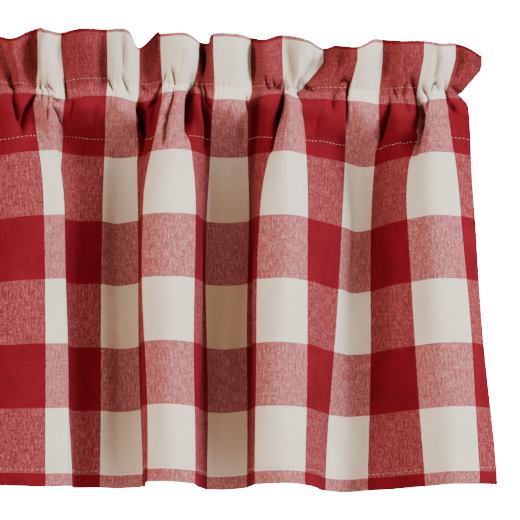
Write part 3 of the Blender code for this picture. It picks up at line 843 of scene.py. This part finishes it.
def woven_check_group(settings):
    """Node group: the colours and the height of a yarn-dyed check, from its flat place."""
    tree = bpy.data.node_groups.new("woven_check", "ShaderNodeTree")
    for name, kind, way in (
        ("Flat place", "NodeSocketVector", "INPUT"),
        ("Colour", "NodeSocketColor", "OUTPUT"),
        ("Height", "NodeSocketFloat", "OUTPUT"),
    ):
        tree.interface.new_socket(name=name, in_out=way, socket_type=kind)
    nodes = Nodes(tree)
    ins, outs = nodes.add("NodeGroupInput"), nodes.add("NodeGroupOutput")
    split = nodes.add("ShaderNodeSeparateXYZ")
    nodes.join(ins.outputs[0], split.inputs[0])
    across, up = split.outputs[0], split.outputs[1]

    def noise(label):
        """Noise stretched along the yarns."""
        across_scale, up_scale, detail, low, high = YARN_NOISE[label]
        stretch = nodes.add("ShaderNodeMapping", label)
        stretch.inputs["Scale"].default_value = (across_scale, up_scale, 1)
        nodes.join(ins.outputs[0], stretch.inputs["Vector"])
        texture = nodes.add("ShaderNodeTexNoise", label, noise_dimensions="2D")
        texture.inputs["Scale"].default_value = 1
        texture.inputs["Detail"].default_value = detail
        texture.inputs["Roughness"].default_value = NOISE_ROUGHNESS
        nodes.join(stretch.outputs[0], texture.inputs["Vector"])
        spread = nodes.add("ShaderNodeMapRange", label)
        spread.inputs["From Min"].default_value = low
        spread.inputs["From Max"].default_value = high
        nodes.join(texture.outputs[0], spread.inputs["Value"])
        return spread.outputs[0]

    warp_slub, fleck, weft_slub, cloud, wobble = (noise(label) for label in YARN_NOISE)

    def dyed_red(place, label):
        """1 in every other check along one direction, with a slightly uneven edge."""
        moved = nodes.math("MULTIPLY_ADD", wobble, WOBBLE, place)
        counted = nodes.math("MODULO", nodes.math("ADD", moved, COUNT_FROM), 2)
        return nodes.math("LESS_THAN", counted, 1, label=label)

    warp_red, weft_red = dyed_red(across, "red warp"), dyed_red(up, "red weft")
    mottle = nodes.math("MULTIPLY", fleck, MOTTLE[1])
    mottle = nodes.math("MULTIPLY_ADD", warp_slub, MOTTLE[0], mottle)
    mottle = nodes.math("MULTIPLY_ADD", weft_slub, MOTTLE[2], mottle, "mottle")
    specked = nodes.math("POWER", mottle, SPECK_POWER, label="light specks on a darker ground")
    faint = nodes.math("MULTIPLY", mottle, FAINT)
    faint = nodes.math("MULTIPLY_ADD", cloud, 1 - FAINT, faint, "faint")
    # Painted shade: the frill's red-on-cream checks are darker
    in_frill = nodes.math("GREATER_THAN", up, FRILL_FOOT, label="in the frill")
    frill_shaded = nodes.math("MULTIPLY_ADD", in_frill, FRILL_SHADE, 1)
    frill_shaded = nodes.math("MULTIPLY", specked, frill_shaded)

    cream = nodes.mix(faint, shade_of(settings.cream, CREAM_DARK), settings.cream)
    red = nodes.mix(faint, shade_of(settings.red, RED_DARK), shade_of(settings.red, RED_LIGHT))
    on_cream = nodes.mix(frill_shaded, settings.red_over_cream, settings.red_over_cream_light)
    on_red = nodes.mix(specked, settings.cream_over_red, settings.cream_over_red_light)
    on_red_warp = nodes.mix(weft_red, on_cream, red, label="on red warp")
    on_cream_warp = nodes.mix(weft_red, cream, on_red, label="on cream warp")
    check = nodes.mix(warp_red, on_cream_warp, on_red_warp, label="check")
    nodes.join(check, outs.inputs[0])

    def ribs(place):
        turns = 2 * math.pi * CHECK / settings.yarn_pitch
        return nodes.math("SINE", nodes.math("MULTIPLY", place, turns))

    weave = nodes.math("MULTIPLY", ribs(across), ribs(up))
    height = nodes.math("MULTIPLY_ADD", warp_slub, HEIGHTS[1], fleck)
    height = nodes.math("MULTIPLY_ADD", weave, HEIGHTS[0], height)
    nodes.join(nodes.math("MULTIPLY_ADD", weft_slub, HEIGHTS[2], height), outs.inputs[1])
    return tree


def check_cotton(settings):
    """Matt woven cotton, with painted shade in tight creases and warm painted shade where pale cloth
    lies in deep folds.
    """
    material = bpy.data.materials.new("check_cotton")
    material.use_nodes = True
    nodes = Nodes(material.node_tree)
    shader = material.node_tree.nodes["Principled BSDF"]
    flat_place = nodes.add("ShaderNodeUVMap", uv_map="flat_cloth")
    woven = nodes.add("ShaderNodeGroup", node_tree=woven_check_group(settings))
    nodes.join(flat_place.outputs[0], woven.inputs[0])
    # Painted shade in tight creases and gaps, and warm painted shade in deep folds, read from the
    # sheet's points
    crease_shade_node = nodes.add("ShaderNodeAttribute", "tight creases", attribute_name="painted_crease_shade")
    folded = nodes.add("ShaderNodeAttribute", "deep folds", attribute_name="painted_fold_shade")
    channels = nodes.add("ShaderNodeSeparateColor")
    nodes.join(woven.outputs["Colour"], channels.inputs[0])
    # Warm painted shade, on pale cloth only, in deep folds
    pale = nodes.math("MULTIPLY", folded.outputs["Fac"], channels.outputs["Green"], label="pale in fold")
    tanned = nodes.mix(pale, woven.outputs["Colour"], FOLD_SHADE, "MULTIPLY")
    # The painted crease shade darkens the colour here
    darker = nodes.mix(crease_shade_node.outputs["Fac"], tanned, CREASE_SHADE, "MULTIPLY")
    nodes.join(darker, shader.inputs["Base Color"])
    bump = nodes.add("ShaderNodeBump")
    bump.inputs["Strength"].default_value = BUMP
    bump.inputs["Distance"].default_value = settings.weave_height
    nodes.join(woven.outputs["Height"], bump.inputs["Height"])
    nodes.join(bump.outputs[0], shader.inputs["Normal"])
    shader.inputs["Roughness"].default_value = 0.92
    shader.inputs["Specular IOR Level"].default_value = 0.025
    shader.inputs["Sheen Weight"].default_value = 0.008
    shader.inputs["Sheen Roughness"].default_value = 0.5
    return material


TWIST_SCALE = 900
TWIST_DARK = 0.7
THREAD_ROUGHNESS = 0.75


def thread_material(settings):
    """Sewing thread, with its twist."""
    material = plain_material("cream_thread", settings.thread_colour, THREAD_ROUGHNESS)
    nodes = Nodes(material.node_tree)
    shader = material.node_tree.nodes["Principled BSDF"]
    place = nodes.add("ShaderNodeTexCoord")
    twist = nodes.add("ShaderNodeTexWave", bands_direction="DIAGONAL")
    twist.inputs["Scale"].default_value = TWIST_SCALE
    nodes.join(place.outputs["Object"], twist.inputs["Vector"])
    dark = shade_of(settings.thread_colour, TWIST_DARK)
    twisted = nodes.mix(twist.outputs["Fac"], dark, settings.thread_colour)
    nodes.join(twisted, shader.inputs["Base Color"])
    return material


def plain_material(name, colour, roughness):
    """One colour all over."""
    material = bpy.data.materials.new(name)
    material.use_nodes = True
    shader = material.node_tree.nodes["Principled BSDF"]
    shader.inputs["Base Color"].default_value = colour
    shader.inputs["Roughness"].default_value = roughness
    return material


# ---- stage

# The photograph's framing: the size of one of its pixels on the cloth, and in pixels where its
# middle, the hem's right-hand corner across and the frame's origin down are
PIXEL = 0.00078
PHOTO_CENTRE = 260
PHOTO_HEM_CORNER = 496.5
PHOTO_TOP = 26.0

# The camera stands low and looks up a little
CAMERA_AWAY = 2.6
CAMERA_RISE = math.radians(-8.5)
SENSOR = 36

# Each lamp's azimuth from straight in front towards the right, elevation, distance and size
Lamp = namedtuple("Lamp", "azimuth elevation away size")
KEY_LAMP = Lamp(52, 35, 2.6, 0.7)
SIDE_LAMP = Lamp(-60, 10, 2.2, 1.2)
BACK_LAMP = Lamp(150, 30, 2.6, 1.6)

WHITE_WALL = 24.0
FLOOR_SIZE = 12
FLOOR_ROUGHNESS = 0.8


def aim(thing, place, target):
    """Set a lamp or the camera up at a place, looking at the target."""
    thing.location = place
    thing.rotation_euler = (target - thing.location).to_track_quat("-Z", "Y").to_euler()
    bpy.context.scene.collection.objects.link(thing)


def direction(azimuth, elevation):
    """The way to a lamp, from straight in front towards the right, and up."""
    level = math.cos(elevation)
    return Vector((level * math.sin(azimuth), -level * math.cos(azimuth), math.sin(elevation)))


def make_lamp(name, target, lamp, watts, colour):
    """A square area light that faces the target."""
    light = bpy.data.lights.new(name, "AREA")
    light.energy = watts
    light.size = lamp.size
    light.color = colour[:3]
    way = direction(math.radians(lamp.azimuth), math.radians(lamp.elevation))
    aim(bpy.data.objects.new(name, light), target + lamp.away * way, target)


def make_surround(settings):
    """Warm soft light from all round, with a white wall behind for the camera."""
    world = bpy.data.worlds.new("studio")
    bpy.context.scene.world = world
    world.use_nodes = True
    nodes = Nodes(world.node_tree)
    soft = world.node_tree.nodes["Background"]
    soft.inputs[0].default_value = settings.sky_colour
    soft.inputs[1].default_value = settings.sky
    wall = nodes.add("ShaderNodeBackground", "white wall")
    wall.inputs[0].default_value = (1, 1, 1, 1)
    wall.inputs[1].default_value = WHITE_WALL
    seen = nodes.add("ShaderNodeLightPath")
    mix = nodes.add("ShaderNodeMixShader")
    nodes.join(seen.outputs["Is Camera Ray"], mix.inputs[0])
    nodes.join(soft.outputs[0], mix.inputs[1])
    nodes.join(wall.outputs[0], mix.inputs[2])
    nodes.join(mix.outputs[0], world.node_tree.nodes["World Output"].inputs[0])


def make_stage(settings):
    """The floor far below, the lights, and the camera in the photograph's place."""
    bpy.ops.mesh.primitive_plane_add(size=FLOOR_SIZE, location=(0, 0, settings.floor_height))
    floor = bpy.context.object
    floor.name = "floor"
    floor.data.materials.append(plain_material("pale_floor", settings.floor_colour, FLOOR_ROUGHNESS))
    floor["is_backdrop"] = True
    make_surround(settings)
    aside = Cloth().shift[0] - (PHOTO_HEM_CORNER - PHOTO_CENTRE) * PIXEL
    target = Vector((aside, 0, -(PHOTO_CENTRE - PHOTO_TOP) * PIXEL))
    make_lamp("key", target, KEY_LAMP, settings.key, settings.key_colour)
    make_lamp("side", target, SIDE_LAMP, settings.side, settings.sky_colour)
    make_lamp("behind", target, BACK_LAMP, settings.behind, settings.key_colour)
    camera_data = bpy.data.cameras.new("camera")
    camera = bpy.data.objects.new("camera", camera_data)
    aim(camera, target + CAMERA_AWAY * direction(0, CAMERA_RISE), target)
    camera_data.sensor_width = SENSOR
    camera_data.lens = SENSOR * CAMERA_AWAY / (2 * PHOTO_CENTRE * PIXEL)
    bpy.context.scene.camera = camera


# ---- the add-on


def colour_property(name, description, default):
    named = {"name": name, "description": description, "subtype": "COLOR"}
    return FloatVectorProperty(**named, size=4, min=0, max=1, default=(*default, 1))


def length_property(name, description, default):
    return FloatProperty(name=name, description=description, unit="LENGTH", default=default)


def light_property(name, description, default):
    return FloatProperty(name=name, description=description, subtype="POWER", default=default, min=0)


class ValanceClothSettings(bpy.types.PropertyGroup):
    """Colours and weave of the check cotton"""

    cream: colour_property("Cream", "Cream warp over cream weft", (0.84, 0.765, 0.62))
    red: colour_property("Red", "Red warp over red weft", (0.178, 0.0080, 0.0158))
    red_over_cream: colour_property(
        "Red on cream", "Red warp over cream weft, where the warp hides it", (0.176, 0.018, 0.024)
    )
    red_over_cream_light: colour_property(
        "Red on cream, light", "Red warp over cream weft, where the weft shows", (0.42, 0.113, 0.122)
    )
    cream_over_red: colour_property(
        "Cream on red", "Cream warp over red weft, where the weft shows", (0.268, 0.068, 0.073)
    )
    cream_over_red_light: colour_property(
        "Cream on red, light", "Cream warp over red weft, where the warp hides it", (0.66, 0.288, 0.285)
    )
    yarn_pitch: length_property("Yarn pitch", "Distance between two yarns", 0.0009)
    weave_height: length_property("Weave height", "How far the weave stands out", 0.0004)


class ValanceStitchSettings(bpy.types.PropertyGroup):
    """The sewing thread and the length of its stitches"""

    thread_colour: colour_property("Thread", "Colour of the sewing thread", (0.62, 0.35, 0.32))
    thread_width: length_property("Thread width", "Thickness of the sewing thread", 0.00044)
    stitch_length: length_property("Stitch length", "Length of one stitch", 0.0023)
    stitch_gap: length_property("Stitch gap", "Distance between two stitches", 0.0017)


class ValanceStageSettings(bpy.types.PropertyGroup):
    """The floor and the lights"""

    floor_colour: colour_property("Floor", "Colour of the floor", (0.8, 0.8, 0.8))
    floor_height: length_property("Floor height", "Height of the floor", -1.3)
    sky_colour: colour_property("Surround", "Colour of the light from all round", (1.0, 0.76, 0.62))
    sky: FloatProperty(name="Surround", description="Light from all round", default=0.86, min=0)
    key_colour: colour_property("Key", "Colour of the key light", (0.85, 0.94, 1.0))
    key: light_property("Key light", "Light from the right-hand front", 127)
    side: light_property("Side light", "Weak light from the left", 24)
    behind: light_property("Back light", "Light on the window side", 90)


class VALANCE_OT_cloth(bpy.types.Operator):
    """Make the gathered sheet of check cotton"""

    bl_idname = "valance.cloth"
    bl_label = "Valance cloth"

    def execute(self, context):
        make_cloth(context.scene.valance_cloth)
        return {"FINISHED"}


class VALANCE_OT_stitching(bpy.types.Operator):
    """Sew the rows of stitches along the pocket and the hem"""

    bl_idname = "valance.stitching"
    bl_label = "Stitching"

    def execute(self, context):
        make_stitching(context.scene.valance_stitching)
        return {"FINISHED"}


class VALANCE_OT_stage(bpy.types.Operator):
    """Make the floor, the lights and the camera"""

    bl_idname = "valance.stage"
    bl_label = "Stage"

    def execute(self, context):
        make_stage(context.scene.valance_stage)
        return {"FINISHED"}


class VALANCE_PT_panel(bpy.types.Panel):
    """All settings, each group above the button that makes its pieces"""

    bl_label = "Window valance"
    bl_space_type = "VIEW_3D"
    bl_region_type = "UI"
    bl_category = "Valance"

    def draw(self, context):
        for name in SETTINGS:
            settings = getattr(context.scene, f"valance_{name}")
            box = self.layout.box()
            for prop in settings.bl_rna.properties:
                if prop.identifier not in ("rna_type", "name"):
                    box.prop(settings, prop.identifier)
            box.operator(f"valance.{name}")


SETTINGS = {
    "cloth": ValanceClothSettings,
    "stitching": ValanceStitchSettings,
    "stage": ValanceStageSettings,
}
CLASSES = (
    *SETTINGS.values(),
    VALANCE_OT_cloth,
    VALANCE_OT_stitching,
    VALANCE_OT_stage,
    VALANCE_PT_panel,
)


def register():
    for cls in CLASSES:
        bpy.utils.register_class(cls)
    for name, group in SETTINGS.items():
        setattr(bpy.types.Scene, f"valance_{name}", PointerProperty(type=group))


def unregister():
    for name in SETTINGS:
        delattr(bpy.types.Scene, f"valance_{name}")
    for cls in reversed(CLASSES):
        bpy.utils.unregister_class(cls)


def main():
    register()
    bpy.ops.valance.cloth()
    bpy.ops.valance.stitching()
    bpy.ops.valance.stage()
    boxes = {"cad": CAD_BOX, "visual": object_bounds()}
    boxes = {name: [list(corner) for corner in box] for name, box in boxes.items()}


if __name__ == "__main__":
    main()
